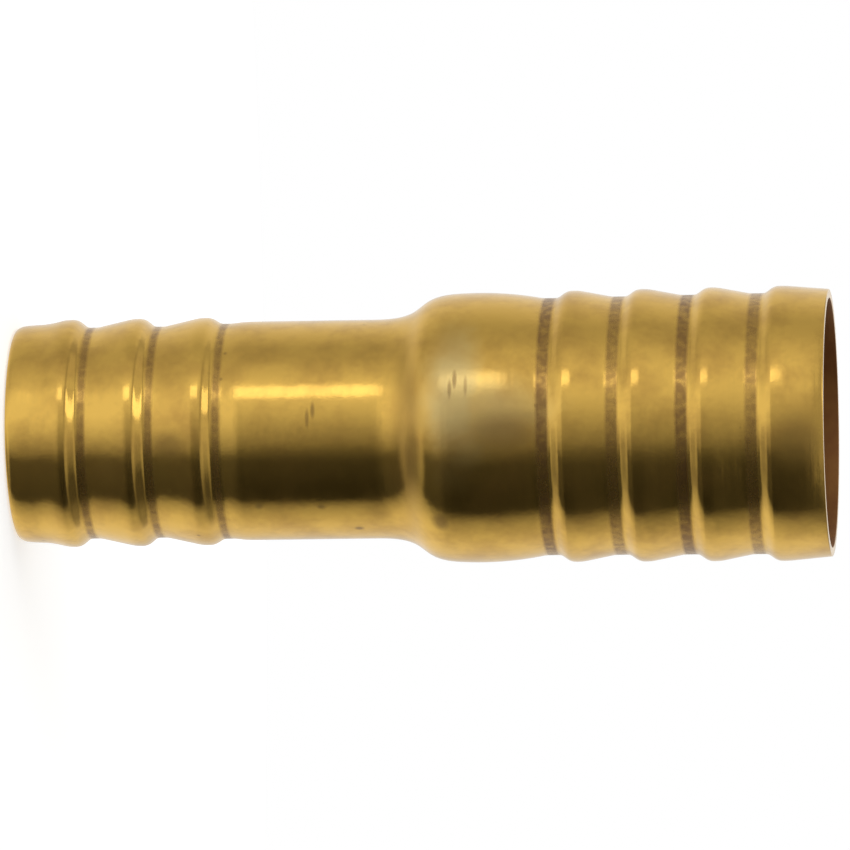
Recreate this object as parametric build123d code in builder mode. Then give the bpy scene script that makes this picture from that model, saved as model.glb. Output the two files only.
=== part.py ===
"""Brass reducing hose connector: one thin tube, swaged down at one end and rolled into barbs.

The connector stands on its small end. The origin is the centre of the small end's face, +Z runs
along the tube's axis towards the large end, and every length is in millimetres. The sizes along
the axis follow one another, from the small end's face up to the large end's mouth.
"""

import os

from build123d import *

wall = 0.7

# Small end, for a hose of 5/8 inch bore: a plain land, then barbs that rise towards the middle.
# Swaging has thickened its wall, and its bore is straight.
small_land_diameter = 15.94
small_crest_diameter = 16.54
small_groove_diameter = 15.36
small_last_groove_diameter = 15.64
small_land_length = 2.35
small_lead_length = 1.28
small_ramp_length = 2.6
small_groove_width = 0.8
small_barbs = 3
small_bore_diameter = 14.0

# Plain tube, and the short rise to it from the last groove
tube_diameter = 15.88
tube_runout = 1.0
tube_length = 9.54

# Swaged flare, an ogee that leaves the tube and meets the shoulder without a corner: the longer
# its two pulls, the steeper its middle. The shoulder is barrelled: its radius swells, then falls.
flare_length = 5.65
flare_foot_pull = 4.0
flare_top_pull = 3.0
shoulder_diameter = 19.4
shoulder_swell = 0.07
shoulder_rise_length = 1.86
shoulder_fall_length = 4.69

# Large end, for a hose of 3/4 inch bore: barbs that fall towards the mouth, each a little wider
large_groove_diameter = 18.62
large_crest_diameter = 19.64
large_growth = 0.08
large_ramp_length = 2.4
large_groove_width = 1.1
large_barbs = 4
large_land_length = 3.13
large_end_diameter = 19.32

# Form that all barbs share
crest_width = 0.8
flank_length = 0.7

# The small end's outer edge is rolled off, and the other edges are square, as cut
small_rim_ease = 0.45


def barb_corners(crest_radius, crest_start, groove_radius, groove_start, groove_width):
    """Corners of one barb and its groove in the outer skin."""
    return [
        (crest_radius, crest_start),
        (crest_radius, crest_start + crest_width),
        (groove_radius, groove_start),
        (groove_radius, groove_start + groove_width),
    ]


def by_height(corner):
    """Height of a corner of the section."""
    return corner[1]


def bore_below(skin_line, place):
    """The bore's point that faces one of the outer skin, the wall's thickness in from it."""
    along = skin_line % place
    return skin_line @ place + wall * Vector(-along.Y, along.X)


# Small end, from its face up to the plain tube: each barb's groove lies above its crest
small_radius = small_land_diameter / 2
small_skin = [(small_radius, 0), (small_radius, small_land_length)]
height = small_land_length + small_lead_length
for number in range(small_barbs):
    groove_diameter = small_groove_diameter
    if number == small_barbs - 1:
        groove_diameter = small_last_groove_diameter
    crest_end = height + crest_width
    groove_start = crest_end + flank_length
    small_skin += barb_corners(
        small_crest_diameter / 2, height, groove_diameter / 2, groove_start, small_groove_width
    )
    groove_end = groove_start + small_groove_width
    height = groove_end + small_ramp_length
tube_radius = tube_diameter / 2
tube_start = groove_end + tube_runout
small_skin.append((tube_radius, tube_start))
small_bore_radius = small_bore_diameter / 2
small_bore = [(small_bore_radius, 0), (small_bore_radius, groove_end)]
small_bore.append((tube_radius - wall, tube_start))

# Ends of the flare, and the crest of the shoulder, on the outer skin
flare_foot = (tube_radius, tube_start + tube_length)
flare_top = (shoulder_diameter / 2, flare_foot[1] + flare_length)
shoulder_crest = (flare_top[0] + shoulder_swell, flare_top[1] + shoulder_rise_length)

# Large end, from the shoulder up to the mouth: each barb's groove lies below its crest, and the
# bore follows, with a ridge behind each groove
large_skin = []
large_bore = []
height = shoulder_crest[1] + shoulder_fall_length
for number in range(large_barbs):
    crest_radius = (large_crest_diameter + number * large_growth) / 2
    groove_radius = (large_groove_diameter + number * large_growth) / 2
    crest_start = height + large_groove_width + flank_length
    barb = barb_corners(crest_radius, crest_start, groove_radius, height, large_groove_width)
    large_skin += sorted(barb, key=by_height)
    large_bore.append((groove_radius - wall, height + large_groove_width / 2))
    large_bore.append((crest_radius - wall, crest_start + crest_width / 2))
    crest_end = crest_start + crest_width
    height = crest_end + large_ramp_length
large_radius = large_end_diameter / 2
mouth_height = crest_end + large_land_length
large_skin.append((large_radius, mouth_height))
large_bore.append((large_radius - wall, mouth_height))

# One section through the wall, turned about the axis
with BuildPart() as hose_connector:
    with BuildSketch(Plane.XZ) as tube_section:
        with BuildLine():
            Polyline(*small_skin, flare_foot)
            shoulder = ThreePointArc(flare_top, shoulder_crest, large_skin[0])
            above_foot = (flare_foot[0], flare_foot[1] + flare_foot_pull)
            below_top = shoulder @ 0 - flare_top_pull * (shoulder % 0)
            flare = Bezier(flare_foot, above_foot, below_top, flare_top)
            Polyline(*large_skin)
            Line(large_skin[-1], large_bore[-1])
            # The bore's flare is one steep run between two that lead into it
            flare_bore = [bore_below(flare, place) for place in (0, 0.3, 0.7, 1)]
            Polyline(*small_bore, *flare_bore, *large_bore)
            Line(small_bore[0], small_skin[0])
        make_face()
        small_rim = tube_section.vertices().sort_by_distance(small_skin[0])[0]
        chamfer(small_rim, small_rim_ease)
    revolve(axis=Axis.Z)

hose_connector.part.label = "hose_connector"

os.makedirs("parts", exist_ok=True)
export_step(hose_connector.part, "parts/hose_connector.step")
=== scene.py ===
# %% [markdown]
# # A brass hose connector
#
# A hose connector joins two hoses of different bore. This one is a single thin brass tube, swaged
# to two diameters and rolled into barbs that grip each hose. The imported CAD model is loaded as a
# fixed frame, and everything here is in its metres, with the small end's face at the origin and
# the tube standing along +Z.

# %% Load the frame
import bpy
from math import cos, pi, radians, sin
from mathutils import Matrix, Vector


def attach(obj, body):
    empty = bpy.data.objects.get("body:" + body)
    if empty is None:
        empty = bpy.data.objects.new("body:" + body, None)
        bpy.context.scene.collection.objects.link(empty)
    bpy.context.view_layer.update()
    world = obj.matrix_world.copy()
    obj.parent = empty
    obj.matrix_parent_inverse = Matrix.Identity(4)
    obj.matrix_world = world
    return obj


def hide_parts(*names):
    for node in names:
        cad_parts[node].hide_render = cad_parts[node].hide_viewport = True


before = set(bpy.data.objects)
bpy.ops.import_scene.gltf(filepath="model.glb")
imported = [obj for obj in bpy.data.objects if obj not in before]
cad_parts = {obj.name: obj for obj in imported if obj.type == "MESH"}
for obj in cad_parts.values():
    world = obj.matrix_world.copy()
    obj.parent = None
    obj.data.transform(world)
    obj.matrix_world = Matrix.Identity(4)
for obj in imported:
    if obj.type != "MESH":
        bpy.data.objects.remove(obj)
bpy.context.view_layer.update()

# %% [markdown]
# ## Units and colours
#
# The tube is thought of in millimetres and Blender works in metres, so one value turns one into
# the other. Colours are written as the hex values a screen shows, and a function turns them into
# the linear light values that a shader adds and multiplies.

# %% Millimetres and screen colours
MM = 0.001


def colour(hex_value):
    """A screen colour such as "#E7C061" as linear red, green, blue and alpha."""
    parts = [int(hex_value[i:i + 2], 16) / 255 for i in (1, 3, 5)]
    return [p / 12.92 if p <= 0.04045 else ((p + 0.055) / 1.055) ** 2.4 for p in parts] + [1.0]


print("one millimetre is", MM, "m")

# %% [markdown]
# ## Camera
#
# The photograph was taken from far away and a little above the middle of the tube, which lies
# across the picture with its large end to the right. The connector stands upright in this scene.
# It could be laid down, but the frame is fixed, so the camera is rolled by a quarter turn instead.
# A long lens gives the flat look.

# %% Camera
LOOK_DOWN = radians(5.9)
ROLL = radians(0.8165)
DISTANCE = 0.6916
SENSOR = 36.0
PICTURE_SIZE = 850
# The lens as the photograph shows it, in picture pixels
LENS_IN_PIXELS = 9535
AIM_HEIGHT = 0.029717
AIM_RIGHT, AIM_UP = -0.000010, 0.000246

away = Vector((0, -cos(LOOK_DOWN), sin(LOOK_DOWN)))
along_tube = Vector((0, sin(LOOK_DOWN), cos(LOOK_DOWN)))
across_tube = Vector((-1, 0, 0))
right = cos(ROLL) * along_tube - sin(ROLL) * across_tube
up = sin(ROLL) * along_tube + cos(ROLL) * across_tube
aim = Vector((0, 0, AIM_HEIGHT)) + AIM_UP * up + AIM_RIGHT * right

bpy.ops.object.camera_add()
camera = bpy.context.object
camera.name = "camera"
camera.data.lens = LENS_IN_PIXELS / PICTURE_SIZE * SENSOR
camera.data.sensor_width = SENSOR
camera.data.clip_start = 0.01
turn = Matrix((right, up, away)).transposed().to_4x4()
camera.matrix_world = Matrix.Translation(aim + DISTANCE * away) @ turn
bpy.context.scene.camera = camera
print("camera at", tuple(round(v, 4) for v in camera.location),
      "lens", round(camera.data.lens, 1), "mm")

# %% [markdown]
# ## The tube's section
#
# The real tube is swaged down at one end and rolled between shaped wheels, so its form is one
# section that never changes round the axis. It could be lofted through rings, but drawing the
# section once and spinning it is closer to how a lathe or a roller sees it. First come the sizes,
# in millimetres, in the order in which they follow each other up the tube.

# %% Sizes of the small end and of the plain tube
WALL = 0.7
SMALL_RIM_RADIUS = 7.85
SMALL_LAND_RADIUS = 7.97
SMALL_LAND_TOP = 2.35
SMALL_CREST_RADIUS = 8.27
SMALL_CREST_STARTS = (3.63, 8.53, 13.43)
SMALL_GROOVE_RADII = (7.68, 7.68, 7.82)
SMALL_GROOVE = 0.8
SMALL_BORE_RADIUS = 7.0
SMALL_BORE_TOP = 15.73
CREST_WIDTH = 0.8
FLANK = 0.7
TUBE_RADIUS = 7.94
TUBE_BORE_RADIUS = 7.24
TUBE_START = 16.73
FLARE_FOOT = 26.27
small_groove_starts = [start + CREST_WIDTH + FLANK for start in SMALL_CREST_STARTS]
print("small end's grooves start at", [round(start, 2) for start in small_groove_starts])

# %% Sizes of the flare, the shoulder and the large end
# Pairs are a radius and a height
FLARE_PULLS = ((TUBE_RADIUS, 30.27), (9.44, 28.93))
FLARE_TOP = (9.70, 31.92)
FLARE_BORE = ((7.33, 28.6), (8.35, 30.35), (8.98, 31.95))
SHOULDER_CREST = (9.77, 33.78)
SHOULDER_BORE = (9.07, 33.78)
LARGE_GROOVE_RADII = (9.31, 9.35, 9.39, 9.43)
LARGE_GROOVE_STARTS = (38.47, 43.47, 48.47, 53.47)
LARGE_GROOVE = 1.1
LARGE_CREST_RADII = (9.82, 9.86, 9.90, 9.94)
MOUTH_RADIUS = 9.66
MOUTH = 59.2
large_crest_starts = [start + LARGE_GROOVE + FLANK for start in LARGE_GROOVE_STARTS]
print("large end's crests start at", [round(start, 2) for start in large_crest_starts])

# %% [markdown]
# ## Flare and shoulder
#
# The flare is an ogee, a curve that leaves the tube straight and meets the shoulder without a
# corner. It could be two arcs, but four points that steer one curve are easier to set. The
# shoulder is a shallow barrel that rises to a crest and falls again, so three points give it.

# %% Points along the flare and the shoulder
FLARE_STEPS, SHOULDER_STEPS = 22, 12


def ogee(start, pulls, end, steps):
    """Points along the smooth curve from start to end that leans towards two pulling points."""
    points = []
    for step in range(1, steps):
        t = step / steps
        weights = ((1 - t) ** 3, 3 * t * (1 - t) ** 2, 3 * t * t * (1 - t), t ** 3)
        corners = (start, *pulls, end)
        points.append(tuple(sum(w * c[i] for w, c in zip(weights, corners)) for i in (0, 1)))
    return points


def barrel(start, crest, end, steps):
    """Points along the shallow curve through three points, at even steps of height."""
    points = []
    for step in range(1, steps):
        z = start[1] + (end[1] - start[1]) * step / steps
        a = (z - crest[1]) * (z - end[1]) / ((start[1] - crest[1]) * (start[1] - end[1]))
        b = (z - start[1]) * (z - end[1]) / ((crest[1] - start[1]) * (crest[1] - end[1]))
        c = (z - start[1]) * (z - crest[1]) / ((end[1] - start[1]) * (end[1] - crest[1]))
        points.append((a * start[0] + b * crest[0] + c * end[0], z))
    return points


flare = ogee((TUBE_RADIUS, FLARE_FOOT), FLARE_PULLS, FLARE_TOP, FLARE_STEPS)
first_groove = (LARGE_GROOVE_RADII[0], LARGE_GROOVE_STARTS[0])
shoulder = barrel(FLARE_TOP, SHOULDER_CREST, first_groove, SHOULDER_STEPS)
print(len(flare), "points on the flare and", len(shoulder), "on the shoulder")

# %% [markdown]
# ## Corners of the outside and of the bore
#
# Every barb has the same four corners: the crest where the hose is gripped, a short flank and a
# narrow rolled groove. They could be typed out one by one, but a loop keeps them alike. The bore
# follows the outside at the large end, with a ridge behind each groove. At the small end swaging
# has thickened the wall and left the bore straight.

# %% Corners, from the small rim up the outside and back down the bore
outside = [(SMALL_RIM_RADIUS, 0), (SMALL_LAND_RADIUS, SMALL_LAND_TOP)]
for start, groove_start, radius in zip(SMALL_CREST_STARTS, small_groove_starts, SMALL_GROOVE_RADII):
    outside += [(SMALL_CREST_RADIUS, start), (SMALL_CREST_RADIUS, start + CREST_WIDTH),
                (radius, groove_start), (radius, groove_start + SMALL_GROOVE)]
outside += [(TUBE_RADIUS, TUBE_START), (TUBE_RADIUS, FLARE_FOOT), *flare, FLARE_TOP, *shoulder]
large_bore = []
for start, groove_radius, crest_start, crest_radius in zip(
        LARGE_GROOVE_STARTS, LARGE_GROOVE_RADII, large_crest_starts, LARGE_CREST_RADII):
    outside += [(groove_radius, start), (groove_radius, start + LARGE_GROOVE),
                (crest_radius, crest_start), (crest_radius, crest_start + CREST_WIDTH)]
    large_bore += [(groove_radius - WALL, start + LARGE_GROOVE / 2),
                   (crest_radius - WALL, crest_start + CREST_WIDTH / 2)]
outside.append((MOUTH_RADIUS, MOUTH))
bore = [(SMALL_BORE_RADIUS, 0), (SMALL_BORE_RADIUS, SMALL_BORE_TOP),
        (TUBE_BORE_RADIUS, TUBE_START), (TUBE_BORE_RADIUS, FLARE_FOOT), *FLARE_BORE,
        SHOULDER_BORE, *large_bore, (MOUTH_RADIUS - WALL, MOUTH)]
section = outside + bore[::-1]
print(len(section), "corners in the section")

# %% [markdown]
# ## Rounding the corners
#
# Rolled metal has no sharp corners, so each kind of corner gets its own rounding: wide on the
# crests, tight in the grooves, and only a slight break on the cut edge of the mouth. A bevel
# could do it, but points on a loose line are quicker to round as they are worked out: each corner
# gives way to a short curve that leaves one side and joins the next.

# %% Round each kind of corner
# A curve takes up at most this part of a side, so that two of them never meet
LARGEST_PART = 0.48


def rounded(corner, before, after, reach, segments):
    """Points of a curve that replaces a corner, starting and ending a reach away from it."""
    sides = []
    for other in (before, after):
        length = ((other[0] - corner[0]) ** 2 + (other[1] - corner[1]) ** 2) ** 0.5
        part = min(reach / length, LARGEST_PART)
        sides.append([corner[i] + part * (other[i] - corner[i]) for i in (0, 1)])
    curve = []
    for step in range(segments + 1):
        t = step / segments
        weights = ((1 - t) ** 2, 2 * t * (1 - t), t * t)
        corners = (sides[0], corner, sides[1])
        curve.append(tuple(sum(w * c[i] for w, c in zip(weights, corners)) for i in (0, 1)))
    return curve


crests = {(SMALL_CREST_RADIUS, s + e) for s in SMALL_CREST_STARTS for e in (0, CREST_WIDTH)}
crests |= {(r, s + e) for s, r in zip(large_crest_starts, LARGE_CREST_RADII)
           for e in (0, CREST_WIDTH)}
grooves = {(r, s + e) for s, r in zip(small_groove_starts, SMALL_GROOVE_RADII)
           for e in (0, SMALL_GROOVE)}
grooves |= {(r, s + e) for s, r in zip(LARGE_GROOVE_STARTS, LARGE_GROOVE_RADII)
            for e in (0, LARGE_GROOVE)}
eased = {(SMALL_LAND_RADIUS, SMALL_LAND_TOP), (TUBE_RADIUS, TUBE_START)}
cut = {(MOUTH_RADIUS, MOUTH), (MOUTH_RADIUS - WALL, MOUTH), (SMALL_BORE_RADIUS, 0)}
small_rim = {(SMALL_RIM_RADIUS, 0)}
# Each kind of corner with its reach in millimetres and its number of segments
kinds = ((crests, 0.36, 5), (grooves, 0.24, 4), (eased, 0.5, 4), (set(bore[1:-1]), 0.4, 3),
         (cut, 0.08, 2), (small_rim, 1.0, 7))
outline = []
for index, corner in enumerate(section):
    before, after = section[index - 1], section[(index + 1) % len(section)]
    for corners, reach, segments in kinds:
        if corner in corners:
            outline += rounded(corner, before, after, reach, segments)
            break
    else:
        outline.append(corner)
print(len(outline), "points in the rounded section")

# %% [markdown]
# ## Drawing the section
#
# A line can be drawn in many ways. Here a plane is added and merged to a single point, and that
# point is extruded from place to place until the section closes on itself, as one would by hand.
# Nothing else is selected meanwhile, because every operator acts on all that is selected.

# %% Draw the section with extrusions
MERGE_WITHIN = 0.002 * MM
bpy.ops.object.select_all(action="DESELECT")
first = (outline[0][0] * MM, 0, outline[0][1] * MM)
bpy.ops.mesh.primitive_plane_add(size=MM, location=first)
tube = bpy.context.object
tube.name = "brass_tube_body"
bpy.ops.object.transform_apply(location=True, rotation=True, scale=True)
bpy.ops.object.mode_set(mode="EDIT")
bpy.ops.mesh.select_mode(type="VERT")
bpy.ops.mesh.select_all(action="SELECT")
bpy.ops.mesh.merge(type="CENTER")
for here, there in zip(outline, outline[1:] + outline[:1]):
    step = ((there[0] - here[0]) * MM, 0, (there[1] - here[1]) * MM)
    bpy.ops.mesh.extrude_region_move(TRANSFORM_OT_translate={"value": step})
bpy.ops.mesh.select_all(action="SELECT")
bpy.ops.mesh.remove_doubles(threshold=MERGE_WITHIN)
bpy.ops.object.mode_set(mode="OBJECT")
print(len(tube.data.vertices), "points drawn,", len(tube.data.edges), "edges")

# %% [markdown]
# ## Spinning the section into a tube
#
# One full turn about the axis makes the whole tube. A Screw modifier could do the same, but a spin
# leaves a plain mesh at once. The seam, where the last copy meets the first, is merged, and the
# faces are then made to point outwards. The smooth shading stops at any edge sharper than the
# angle given, which keeps the cut mouth crisp.

# %% Spin, merge and smooth
TURN_STEPS = 200
SMOOTH_BELOW = radians(50)
bpy.ops.object.mode_set(mode="EDIT")
bpy.ops.mesh.select_all(action="SELECT")
bpy.ops.mesh.spin(steps=TURN_STEPS, angle=2 * pi, center=(0, 0, 0), axis=(0, 0, 1))
bpy.ops.mesh.select_all(action="SELECT")
bpy.ops.mesh.remove_doubles(threshold=MERGE_WITHIN)
bpy.ops.mesh.normals_make_consistent(inside=False)
bpy.ops.object.mode_set(mode="OBJECT")
bpy.ops.object.shade_smooth_by_angle(angle=SMOOTH_BELOW)
print(len(tube.data.polygons), "faces,", 2 * len(tube.data.polygons), "triangles")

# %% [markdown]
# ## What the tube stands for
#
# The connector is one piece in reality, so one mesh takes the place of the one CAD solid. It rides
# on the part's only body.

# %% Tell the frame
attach(tube, "root")
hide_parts("hose_connector")
print("the tube replaces the CAD solid")

# %% [markdown]
# ## A helper for shader nodes
#
# A material is a small network of nodes. One function adds a node of any kind, sets its values
# and joins its inputs, so that each material below reads as a short list.

# %% Node helper
def add_node(tree, kind, settings=None, links=None):
    """Adds a node, sets its options and sockets by name or number, and joins sources to sockets."""
    node = tree.nodes.new(kind)
    for name, value in (settings or {}).items():
        if isinstance(name, str) and hasattr(node, name):
            setattr(node, name, value)
    for name, value in (settings or {}).items():
        if isinstance(name, int) or not hasattr(node, name):
            node.inputs[name].default_value = value
    for name, source in (links or {}).items():
        tree.links.new(source, node.inputs[name])
    return node


def new_material(name):
    """A material with an empty node tree."""
    material = bpy.data.materials.new(name)
    material.use_nodes = True
    material.node_tree.nodes.clear()
    return material


print("node helper ready")

# %% [markdown]
# ## Where the grooves are dirty
#
# Dirt stays in the rolled grooves, where no hose or thumb rubs it off. It could be painted by
# height in the shader, but a value stored on the mesh follows each groove exactly and is easy to
# check. Each point gets a value from 0 on the clean ramps up to the groove's own dirt.

# %% Store the dirt of the grooves on the mesh
FADE = 0.13
CLEAR = 0.16
SMALL_DIRT = (0.85, 0.85, 0.85)
LARGE_DIRT = (1.0, 0.8, 1.0, 0.8)
bands = [(s, s + SMALL_GROOVE, d) for s, d in zip(small_groove_starts, SMALL_DIRT)]
bands += [(s, s + LARGE_GROOVE, d) for s, d in zip(LARGE_GROOVE_STARTS, LARGE_DIRT)]
dirt = tube.data.attributes.new("groove_dirt", "FLOAT", "POINT")
for point, value in zip(tube.data.vertices, dirt.data):
    z = point.co.z / MM
    for low, high, depth in bands:
        inside = min(z - (low + CLEAR - FADE), (high - CLEAR + FADE) - z) / (2 * FADE)
        value.value = max(value.value, depth * min(1.0, max(0.0, inside)))
print(sum(v.value > 0.5 for v in dirt.data), "points lie in the grooves")

# %% [markdown]
# ## Brass
#
# The tube is drawn and rolled yellow brass, not plated, handled and a little aged. What the eye
# sees is mostly its mirror, slightly blurred by the rolling, and three things that break it:
# faint lines round the tube from the rollers, a cloudy brown tarnish, and brown dirt in the
# grooves. Pictures of brass could be wrapped round it, but patterns at their real size in
# millimetres, worked out from the piece's own coordinates, stay sharp and move with it.

# %% Patterns on the brass, in millimetres
brass = new_material("drawn_brass_aged")
tree = brass.node_tree
coords = add_node(tree, "ShaderNodeTexCoord")
mm = add_node(tree, "ShaderNodeVectorMath", {"operation": "SCALE", "Scale": 1 / MM},
              {0: coords.outputs["Object"]})
# Real roller lines are finer than a tenth of a millimetre: these are as coarse as they must be
# to show
LINE_GAP = 0.45
LINE_STRETCH = (0.05, 0.05, 1.0)
CLOUD_SIZE, GRAIN_SIZE, SPECK_GAP = 3.2, 0.55, 3.4
stretched = add_node(tree, "ShaderNodeVectorMath", {"operation": "MULTIPLY", 1: LINE_STRETCH},
                     {0: mm.outputs[0]})
roll_lines = add_node(tree, "ShaderNodeTexNoise", {"Scale": 1 / LINE_GAP, "Detail": 4.0},
                      {"Vector": stretched.outputs[0]})
cloud = add_node(tree, "ShaderNodeTexNoise",
                 {"Scale": 1 / CLOUD_SIZE, "Detail": 6.0, "Roughness": 0.62},
                 {"Vector": mm.outputs[0]})
grain = add_node(tree, "ShaderNodeTexNoise", {"Scale": 1 / GRAIN_SIZE, "Detail": 3.0},
                 {"Vector": mm.outputs[0]})
specks = add_node(tree, "ShaderNodeTexVoronoi", {"Scale": 1 / SPECK_GAP},
                  {"Vector": mm.outputs[0]})
print("roller lines every", LINE_GAP, "mm, clouds of", CLOUD_SIZE, "mm")

# %% [markdown]
# ## Marks of use, and painted shade on the flare
#
# A few marks have a place of their own: a dull greyish patch where the shoulder has been gripped,
# short scratches, and brown stains. One wide brown band round the flare's steep middle, on the
# side facing the camera, is no stain but painted shade: it darkens the flare where its mirror shows
# a darker part of the room. They could be painted on, but each is simple enough to be a soft spot,
# stretched to its size and laid on the surface at a height and an angle. The cloudy pattern makes
# its edge ragged.

# %% Soft spots at a place on the tube
# Distances from a spot's middle, where its own half size is 1
RAGGED = 1.6
HALF_FADED = 1.8
SOFT = 0.7


def spot(height, angle, radius, half_sizes, strength):
    """A soft spot on the skin, in millimetres: half sizes run round the tube and along it."""
    side = radians(angle)
    centre = (radius * sin(side), -radius * cos(side), height)
    around, along = half_sizes
    moved = add_node(tree, "ShaderNodeVectorMath", {"operation": "SUBTRACT", 1: centre},
                     {0: mm.outputs[0]})
    fitted = add_node(tree, "ShaderNodeVectorMath",
                      {"operation": "MULTIPLY", 1: (1 / around, 1 / around, 1 / along)},
                      {0: moved.outputs[0]})
    far = add_node(tree, "ShaderNodeVectorMath", {"operation": "LENGTH"}, {0: fitted.outputs[0]})
    ragged = add_node(tree, "ShaderNodeMath", {"operation": "MULTIPLY_ADD", 1: RAGGED},
                      {0: cloud.outputs[0], 2: far.outputs["Value"]})
    faded = add_node(tree, "ShaderNodeMapRange",
                     {"From Min": HALF_FADED + SOFT, "From Max": HALF_FADED - SOFT,
                      "To Max": strength, "interpolation_type": "SMOOTHSTEP"},
                     {"Value": ragged.outputs[0]})
    return faded.outputs[0]


def strongest(values):
    """The largest of several values, point by point."""
    most = values[0]
    for value in values[1:]:
        most = add_node(tree, "ShaderNodeMath", {"operation": "MAXIMUM"}, {0: most, 1: value})
        most = most.outputs[0]
    return most


# Each mark has a height, an angle from the camera, a radius, half sizes and a strength
DULL_MARKS = ((32.7, -14, 9.6, (4.2, 1.8), 0.62), (34.9, -9, 9.7, (2.2, 3.8), 0.40))
STAIN_AND_SHADE_MARKS = (
    (36.4, 2.5, 9.6, (1.3, 2.2), 0.5), (57.4, 7, 9.8, (1.7, 1.5), 0.4),
    (11.9, 7, 7.9, (0.9, 1.1), 0.45), (7.3, 20, 8.0, (1.0, 0.8), 0.3),
    # The second spot in the next row, a wide band round the flare's steep middle, is painted shade,
    # not a stain
    (31.5, 44, 9.6, (0.7, 0.45), 0.55), (29.3, 2, 8.9, (5.5, 0.9), 0.38),
    (18.2, 43, 7.94, (0.25, 0.25), 0.45), (22.7, 44, 7.94, (0.2, 0.25), 0.45),
    (25.2, 64, 7.94, (0.25, 0.3), 0.6),
)
SCRATCH_MARKS = (
    (22.4, -10.5, 7.94, (0.5, 0.13), 0.55), (22.0, -6, 7.94, (0.55, 0.12), 0.5),
    (32.8, -21, 9.7, (0.5, 0.12), 0.55), (32.45, -16.5, 9.7, (0.55, 0.12), 0.5),
    (33.6, -18, 9.7, (0.6, 0.1), 0.35),
)
dulled = strongest([spot(*mark) for mark in DULL_MARKS])
marked = strongest([spot(*mark) for mark in STAIN_AND_SHADE_MARKS + SCRATCH_MARKS])
# The count of stains includes the band of painted shade on the flare
print(len(STAIN_AND_SHADE_MARKS), "stains,", len(SCRATCH_MARKS), "scratches and a dull patch")

# %% [markdown]
# ## How strong each pattern is
#
# A raw pattern is an even grey mix. Each is now cut down to where it should show: tarnish only in
# the denser clouds, specks only at the middle of their cells, and dirt only in the grooves, where
# a fine grain makes it crumbly.

# %% Weigh the patterns
tarnish = add_node(tree, "ShaderNodeMapRange", {"From Min": 0.42, "From Max": 0.72, "To Max": 0.75},
                   {"Value": cloud.outputs[0]}).outputs[0]
speck = add_node(tree, "ShaderNodeMapRange", {"From Min": 0.05, "From Max": 0.03, "To Max": 0.4},
                 {"Value": specks.outputs["Distance"]}).outputs[0]
stains_and_painted_shade = strongest([marked, speck])
dirt_value = add_node(tree, "ShaderNodeAttribute", {"attribute_name": "groove_dirt"})
crumbly = add_node(tree, "ShaderNodeMapRange",
                   {"From Min": 0.30, "From Max": 0.62, "To Min": 0.55, "To Max": 1.0},
                   {"Value": grain.outputs[0]})
grime = add_node(tree, "ShaderNodeMath", {"operation": "MULTIPLY"},
                 {0: dirt_value.outputs["Fac"], 1: crumbly.outputs[0]}).outputs[0]
print("tarnish, specks and grime weighed")

# %% [markdown]
# ## Mixing the brass
#
# Clean brass is a mirror coloured gold. Tarnish makes it browner and duller, and dirt, stains and
# the painted shade on the flare are hardly metal at all, so the share of metal falls there and the
# roughness rises. Each finish could be a shader of its own, but mixing the numbers for one shader
# exports more simply.

# %% Drawn brass, aged: a blurred golden mirror, with clouds and faint lines round the tube
# The stain brown also colours the band of painted shade on the flare
BRASS, TARNISH, DULL, STAIN_AND_SHADE_BROWN, GRIME = "#EBBE5C", "#C4984A", "#CDBB86", "#7E5C30", "#84603A"
RELIEF = 0.03 * MM
# Each finish over the brass, with its share, colour, metal and roughness
FINISHES = ((dulled, DULL, 0.80, 0.30), (stains_and_painted_shade, STAIN_AND_SHADE_BROWN, 0.60, 0.28), (grime, GRIME, 0.80, 0.36))
skin = add_node(tree, "ShaderNodeMix",
                {"data_type": "RGBA", 6: colour(BRASS), 7: colour(TARNISH)},
                {0: tarnish}).outputs[2]
metal = add_node(tree, "ShaderNodeMapRange", {"To Min": 0.99, "To Max": 0.88},
                 {"Value": tarnish}).outputs[0]
rough = add_node(tree, "ShaderNodeMapRange", {"To Min": 0.11, "To Max": 0.20},
                 {"Value": roll_lines.outputs[0]}).outputs[0]
for share, hex_value, metal_there, rough_there in FINISHES:
    skin = add_node(tree, "ShaderNodeMix", {"data_type": "RGBA", 7: colour(hex_value)},
                    {0: share, 6: skin}).outputs[2]
    metal = add_node(tree, "ShaderNodeMix", {"data_type": "FLOAT", 3: metal_there},
                     {0: share, 2: metal}).outputs[0]
    rough = add_node(tree, "ShaderNodeMix", {"data_type": "FLOAT", 3: rough_there},
                     {0: share, 2: rough}).outputs[0]
waves = add_node(tree, "ShaderNodeMath", {"operation": "MULTIPLY_ADD", 1: 0.25},
                 {0: roll_lines.outputs[0], 2: cloud.outputs[0]})
relief = add_node(tree, "ShaderNodeBump", {"Strength": 1.0, "Distance": RELIEF},
                  {"Height": waves.outputs[0]})
shader = add_node(tree, "ShaderNodeBsdfPrincipled",
                  links={"Base Color": skin, "Metallic": metal, "Roughness": rough,
                         "Normal": relief.outputs[0]})
add_node(tree, "ShaderNodeOutputMaterial", links={"Surface": shader.outputs["BSDF"]})
tube.data.materials.append(brass)
print("brass is", BRASS, "with", len(tree.nodes), "nodes")

# %% [markdown]
# ## Bore
#
# Inside the tube the brass was never polished, and water has turned it reddish brown. It could be
# a second piece inside the first, but it is the same metal, so the faces that look towards the
# axis simply get this duller finish, and the cut rim stays bright.

# %% Oxidised bore: a dull red-brown that hardly mirrors
SCALE_SIZE = 1.6
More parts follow.
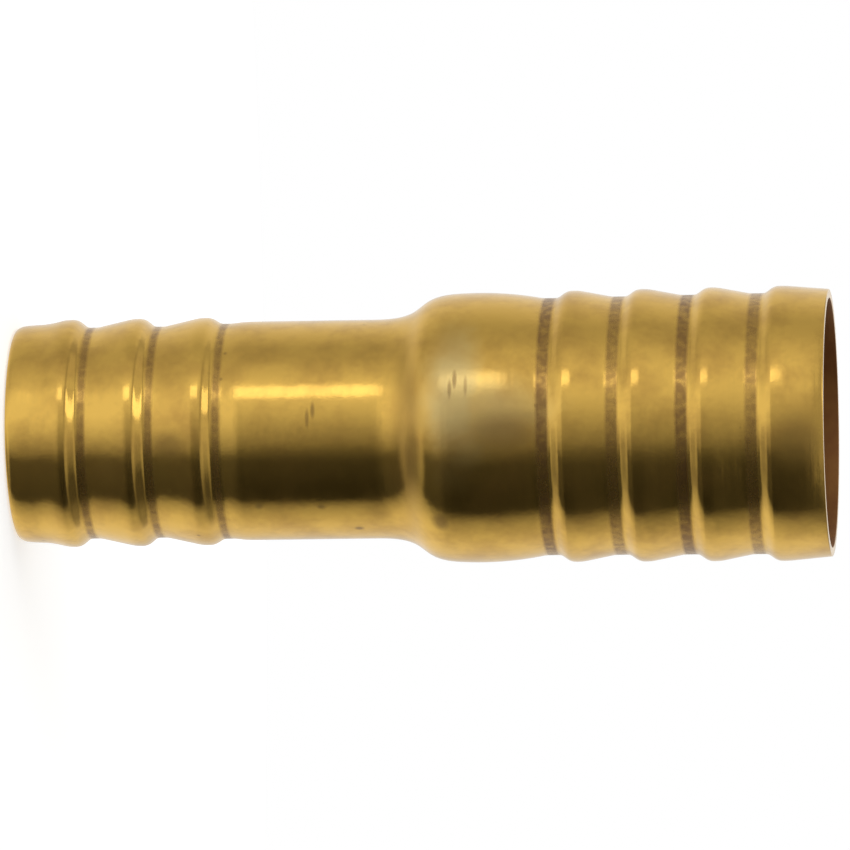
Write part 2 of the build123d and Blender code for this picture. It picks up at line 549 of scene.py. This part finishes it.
# A face is in the bore when it looks towards the axis by more than this
TURNED_IN = 0.3
bore_metal = new_material("oxidised_brass_bore")
tree = bore_metal.node_tree
coords = add_node(tree, "ShaderNodeTexCoord")
mm = add_node(tree, "ShaderNodeVectorMath", {"operation": "SCALE", "Scale": 1 / MM},
              {0: coords.outputs["Object"]})
scale_marks = add_node(tree, "ShaderNodeTexNoise", {"Scale": 1 / SCALE_SIZE, "Detail": 5.0},
                       {"Vector": mm.outputs[0]})
oxide = add_node(tree, "ShaderNodeMix",
                 {"data_type": "RGBA", 6: colour("#85502C"), 7: colour("#B5803F")},
                 {0: scale_marks.outputs[0]})
dull = add_node(tree, "ShaderNodeMapRange", {"To Min": 0.42, "To Max": 0.6},
                {"Value": scale_marks.outputs[0]})
shader = add_node(tree, "ShaderNodeBsdfPrincipled", {"Metallic": 0.6},
                  {"Base Color": oxide.outputs[2], "Roughness": dull.outputs[0]})
add_node(tree, "ShaderNodeOutputMaterial", links={"Surface": shader.outputs["BSDF"]})
tube.data.materials.append(bore_metal)
inner = 0
for face in tube.data.polygons:
    outward = face.normal.x * face.center.x + face.normal.y * face.center.y
    if outward < -TURNED_IN * face.center.to_2d().length:
        face.material_index = 1
        inner += 1
print(inner, "faces in the bore")

# %% [markdown]
# ## Floor
#
# The connector stands on a small round table. It is plain and pale, and it adds a little light of
# its own to what the camera sees, so that it goes white while its shadow stays. More lamps could
# do that too, but they would bleach the brass. The photographed tube lay over something that
# didn't mirror in it, so the brass sees the tent in the table's place.

# %% Floor, a matt white table
FLOOR_RADIUS = 0.15
FLOOR_DROP = 0.1 * MM
FLOOR_LIFT = 0.62
bpy.ops.object.select_all(action="DESELECT")
bpy.ops.mesh.primitive_circle_add(vertices=128, radius=FLOOR_RADIUS, fill_type="NGON",
                                  location=(0, 0, -FLOOR_DROP))
floor = bpy.context.object
floor.name = "table_top"
floor.visible_glossy = False
paint = new_material("matt_white_table")
tree = paint.node_tree
rays = add_node(tree, "ShaderNodeLightPath")
seen = add_node(tree, "ShaderNodeMath", {"operation": "MAXIMUM"},
                {0: rays.outputs["Is Camera Ray"], 1: rays.outputs["Is Glossy Ray"]})
seen = add_node(tree, "ShaderNodeMath", {"operation": "MAXIMUM"},
                {0: seen.outputs[0], 1: rays.outputs["Is Transmission Ray"]})
lift = add_node(tree, "ShaderNodeMath", {"operation": "MULTIPLY", 1: FLOOR_LIFT},
                {0: seen.outputs[0]})
glow = add_node(tree, "ShaderNodeEmission", links={"Strength": lift.outputs[0]})
matt = add_node(tree, "ShaderNodeBsdfDiffuse", {"Color": colour("#F2F2F0")})
both = add_node(tree, "ShaderNodeAddShader", links={0: glow.outputs[0], 1: matt.outputs[0]})
add_node(tree, "ShaderNodeOutputMaterial", links={"Surface": both.outputs[0]})
floor.data.materials.append(paint)
print("floor radius", FLOOR_RADIUS, "m")

# %% [markdown]
# ## Light tent
#
# Shiny metal shows its surroundings, so they are built like a photographer's tent: a cloth globe
# round the connector, bright where a lamp stands behind it and greyer elsewhere, with a wide dark
# stretch on the side that is the picture's lower half. Lamps alone in an empty room would leave
# the brass black between them. The camera sees through the cloth.

# %% Tent cloth, by the angle round the tube
TENT_RADIUS = 0.32
# Angle in degrees from the camera, positive towards +X, and the cloth's brightness at eye level
LEVEL_STEPS = (
    (-180, 0.90), (-150, 0.86), (-130, 0.76), (-110, 0.59), (-96, 0.46), (-80, 0.50), (-62, 0.68),
    (-52, 0.78), (-40, 0.80), (-30, 0.78), (-20, 0.66), (-10, 0.52), (2, 0.37), (14, 0.235),
    (22, 0.11), (32, 0.045), (60, 0.024), (78, 0.022), (83, 0.19), (91, 0.40), (104, 0.60),
    (120, 0.80), (140, 0.80), (160, 0.74), (180, 0.90),
)
# The same, lower down
LOW_STEPS = (
    (-180, 0.92), (-130, 0.78), (-110, 0.60), (-90, 0.50), (-60, 0.66), (-40, 0.92), (-20, 0.93),
    (-6, 0.76), (10, 0.48), (20, 0.30), (29, 0.09), (75, 0.05), (83, 0.34), (92, 0.54), (102, 0.76),
    (120, 0.88), (150, 0.88), (180, 0.92),
)
bpy.ops.object.select_all(action="DESELECT")
bpy.ops.mesh.primitive_uv_sphere_add(segments=96, ring_count=48, radius=TENT_RADIUS)
tent = bpy.context.object
tent.name = "light_tent"
tent.visible_camera = False
tent.visible_shadow = False
cloth = new_material("lit_tent_cloth")
tree = cloth.node_tree
place = add_node(tree, "ShaderNodeTexCoord")
axes = add_node(tree, "ShaderNodeSeparateXYZ", links={0: place.outputs["Object"]})
front = add_node(tree, "ShaderNodeMath", {"operation": "MULTIPLY", 1: -1.0},
                 {0: axes.outputs["Y"]})
bearing = add_node(tree, "ShaderNodeMath", {"operation": "ARCTAN2"},
                   {0: axes.outputs["X"], 1: front.outputs[0]})
share = add_node(tree, "ShaderNodeMapRange", {"From Min": -pi, "From Max": pi},
                 {"Value": bearing.outputs[0]})


def cloth_steps(steps):
    """Brightness round the tube from a list of angles and levels."""
    ramp = add_node(tree, "ShaderNodeValToRGB", links={"Fac": share.outputs[0]})
    stops = ramp.color_ramp.elements
    for angle, _ in steps[1:-1]:
        stops.new((angle + 180) / 360)
    for stop, (angle, level) in zip(stops, steps):
        stop.color = (level, level, level, 1)
    return ramp.outputs["Color"]


eye_level = cloth_steps(LEVEL_STEPS)
low_level = cloth_steps(LOW_STEPS)
print("tent radius", TENT_RADIUS, "m")

# %% [markdown]
# ## Lamps and dark cards in the tent
#
# The barbs lean up and down, so they mirror the tent high over the tube and far under it. A soft
# step in height tells those parts of the cloth apart. The lamp shows as bright windows, and two
# dark cards, one high and one low, darken the short steep sides of the barbs. Separate lamps and
# cards could hang in the tent, but a level painted on the cloth is simpler to place and to change.

# %% Shapes on the cloth
def by_height(dark_at, bright_at):
    """0 at one height in degrees over the horizon as seen from the tube, and 1 at another."""
    heights = [TENT_RADIUS * sin(radians(a)) for a in (dark_at, bright_at)]
    step = add_node(tree, "ShaderNodeMapRange",
                    {"From Min": heights[0], "From Max": heights[1],
                     "interpolation_type": "SMOOTHSTEP"}, {"Value": axes.outputs["Z"]})
    return step.outputs[0]


def card(angle, height, near, far):
    """1 in the middle of a dark card and 0 beyond it: near and far are parts of the radius."""
    level = cos(radians(height))
    middle = TENT_RADIUS * Vector((level * sin(radians(angle)), -level * cos(radians(angle)),
                                   sin(radians(height))))
    gap = add_node(tree, "ShaderNodeVectorMath", {"operation": "DISTANCE", 1: middle},
                   {0: place.outputs["Object"]})
    fade = add_node(tree, "ShaderNodeMapRange",
                    {"From Min": far * TENT_RADIUS, "From Max": near * TENT_RADIUS},
                    {"Value": gap.outputs["Value"]})
    return fade.outputs[0]


def window(angle, half_width, low, high):
    """1 inside a lamp's window in the cloth, between two angles round the tube and two heights."""
    across = add_node(tree, "ShaderNodeMath",
                      {"operation": "COMPARE", 1: radians(angle), 2: radians(half_width)},
                      {0: bearing.outputs[0]})
    below = add_node(tree, "ShaderNodeMath", {"operation": "MULTIPLY"},
                     {0: across.outputs[0], 1: by_height(*low)})
    inside = add_node(tree, "ShaderNodeMath", {"operation": "MULTIPLY"},
                      {0: below.outputs[0], 1: by_height(*high)})
    return inside.outputs[0]


print("cloth shapes ready")

# %% Lay the levels over each other
FOOT, OVER_LAMP, CROWN, CARD, LAMP = 0.88, 0.42, 0.62, 0.07, 1.72
half_foot = add_node(tree, "ShaderNodeMath", {"operation": "MULTIPLY", 1: 0.55},
                     {0: by_height(-38, -56)})
layers = (
    (FOOT, half_foot.outputs[0]), (OVER_LAMP, by_height(26, 33)), (CROWN, by_height(35, 46)),
    (CARD, card(82.4, 53.1, 0.20, 0.75)), (CARD, card(86.0, -66.0, -0.1, 0.56)),
    (LAMP, window(-41.0, 6.2, (-13, -9), (15, 9))), (LAMP, window(-40, 15, (40, 44), (84, 80))),
)
sides = add_node(tree, "ShaderNodeMix", {"data_type": "RGBA"},
                 {0: by_height(-6, -14), 6: eye_level, 7: low_level}).outputs[2]
for level, share_there in layers:
    sides = add_node(tree, "ShaderNodeMix", {"data_type": "RGBA", 7: (level, level, level, 1)},
                     {0: share_there, 6: sides}).outputs[2]
glow = add_node(tree, "ShaderNodeEmission", {"Strength": 1.0}, {"Color": sides})
add_node(tree, "ShaderNodeOutputMaterial", links={"Surface": glow.outputs[0]})
tent.data.materials.append(cloth)
print("lamp windows at", LAMP, "times white")

# %% [markdown]
# ## Room
#
# Beyond the tent the room is plain white, which is the background that the camera sees. A white
# wall could stand behind the connector, but a white world works from every side. The tent keeps
# its light off the connector, and Blender's Standard view shows every colour as written.

# %% Room
world = bpy.data.worlds.new("white_room")
bpy.context.scene.world = world
world.use_nodes = True
tree = world.node_tree
tree.nodes.clear()
glow = add_node(tree, "ShaderNodeBackground", {"Color": (1, 1, 1, 1), "Strength": 1.0})
add_node(tree, "ShaderNodeOutputWorld", links={"Surface": glow.outputs[0]})
bpy.context.scene.view_settings.view_transform = "Standard"
print("the room is white")
